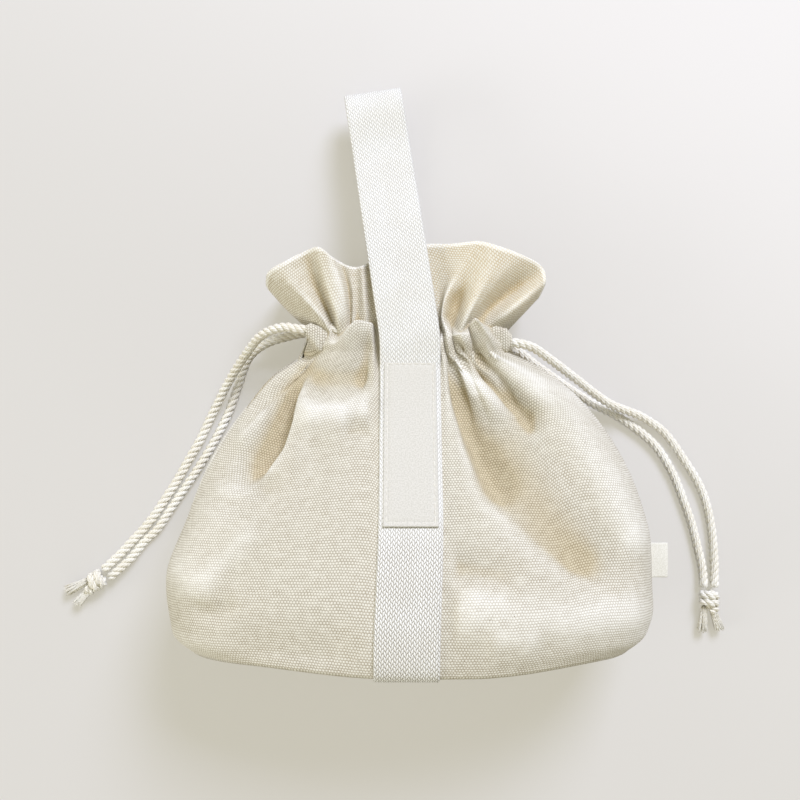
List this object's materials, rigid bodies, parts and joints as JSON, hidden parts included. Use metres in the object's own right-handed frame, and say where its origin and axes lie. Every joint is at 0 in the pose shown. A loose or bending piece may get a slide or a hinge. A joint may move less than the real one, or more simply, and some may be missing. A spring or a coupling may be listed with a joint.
{
  "type": "drawcord lunch bag",
  "caption": "Boxed canvas lunch bag lying on its back, gathered by drawcords in a channelled neck below a flared frill, with a webbing band and handle.",
  "frame": {"origin": "on the flat underside of the back webbing, on the bag's middle plane, half way between base and neck", "axes": "+X to the bag's right seen from the front, +Y from the base towards the handle, +Z out of the front, away from the surface the bag lies on"},
  "size_m": [0.3563, 0.2927, 0.1017],
  "materials": {
    "canvas": "matte",
    "webbing": "matte",
    "cotton_cord": "matte",
    "label_tape": "matte"
  },
  "bodies": {
    "bag": {"front_panel": "canvas", "back_panel": "canvas", "base_panel": "canvas", "front_channel": "canvas", "back_channel": "canvas", "front_frill": "canvas", "back_frill": "canvas", "front_webbing": "webbing", "back_webbing": "webbing", "base_webbing": "webbing", "label_patch": "label_tape", "side_tag": "label_tape", "left_loop": "cotton_cord", "right_loop": "cotton_cord"},
    "handle": {"handle_front_leg": "webbing", "handle_grip": "webbing", "handle_back_leg": "webbing"},
    "left_drawcord": {"left_front_tail": "cotton_cord", "left_back_tail": "cotton_cord", "left_knot": "cotton_cord", "left_front_end": "cotton_cord", "left_back_end": "cotton_cord"},
    "right_drawcord": {"right_front_tail": "cotton_cord", "right_back_tail": "cotton_cord", "right_knot": "cotton_cord", "right_front_end": "cotton_cord", "right_back_end": "cotton_cord"}
  },
  "joints": [
    {"name": "handle_swing", "type": "hinge", "parent": "bag", "child": "handle", "pos_m": [0, 0.082, 0.03], "axis": [1, 0, 0], "range_deg": [0, 75], "deforming": ["handle_front_leg", "handle_back_leg"]},
    {"name": "left_drawcord_pull", "type": "slide", "parent": "bag", "child": "left_drawcord", "axis": [-1, 0, 0], "range_m": [0, 0.025]},
    {"name": "right_drawcord_pull", "type": "slide", "parent": "bag", "child": "right_drawcord", "axis": [1, 0, 0], "range_m": [0, 0.025]}
  ]
}
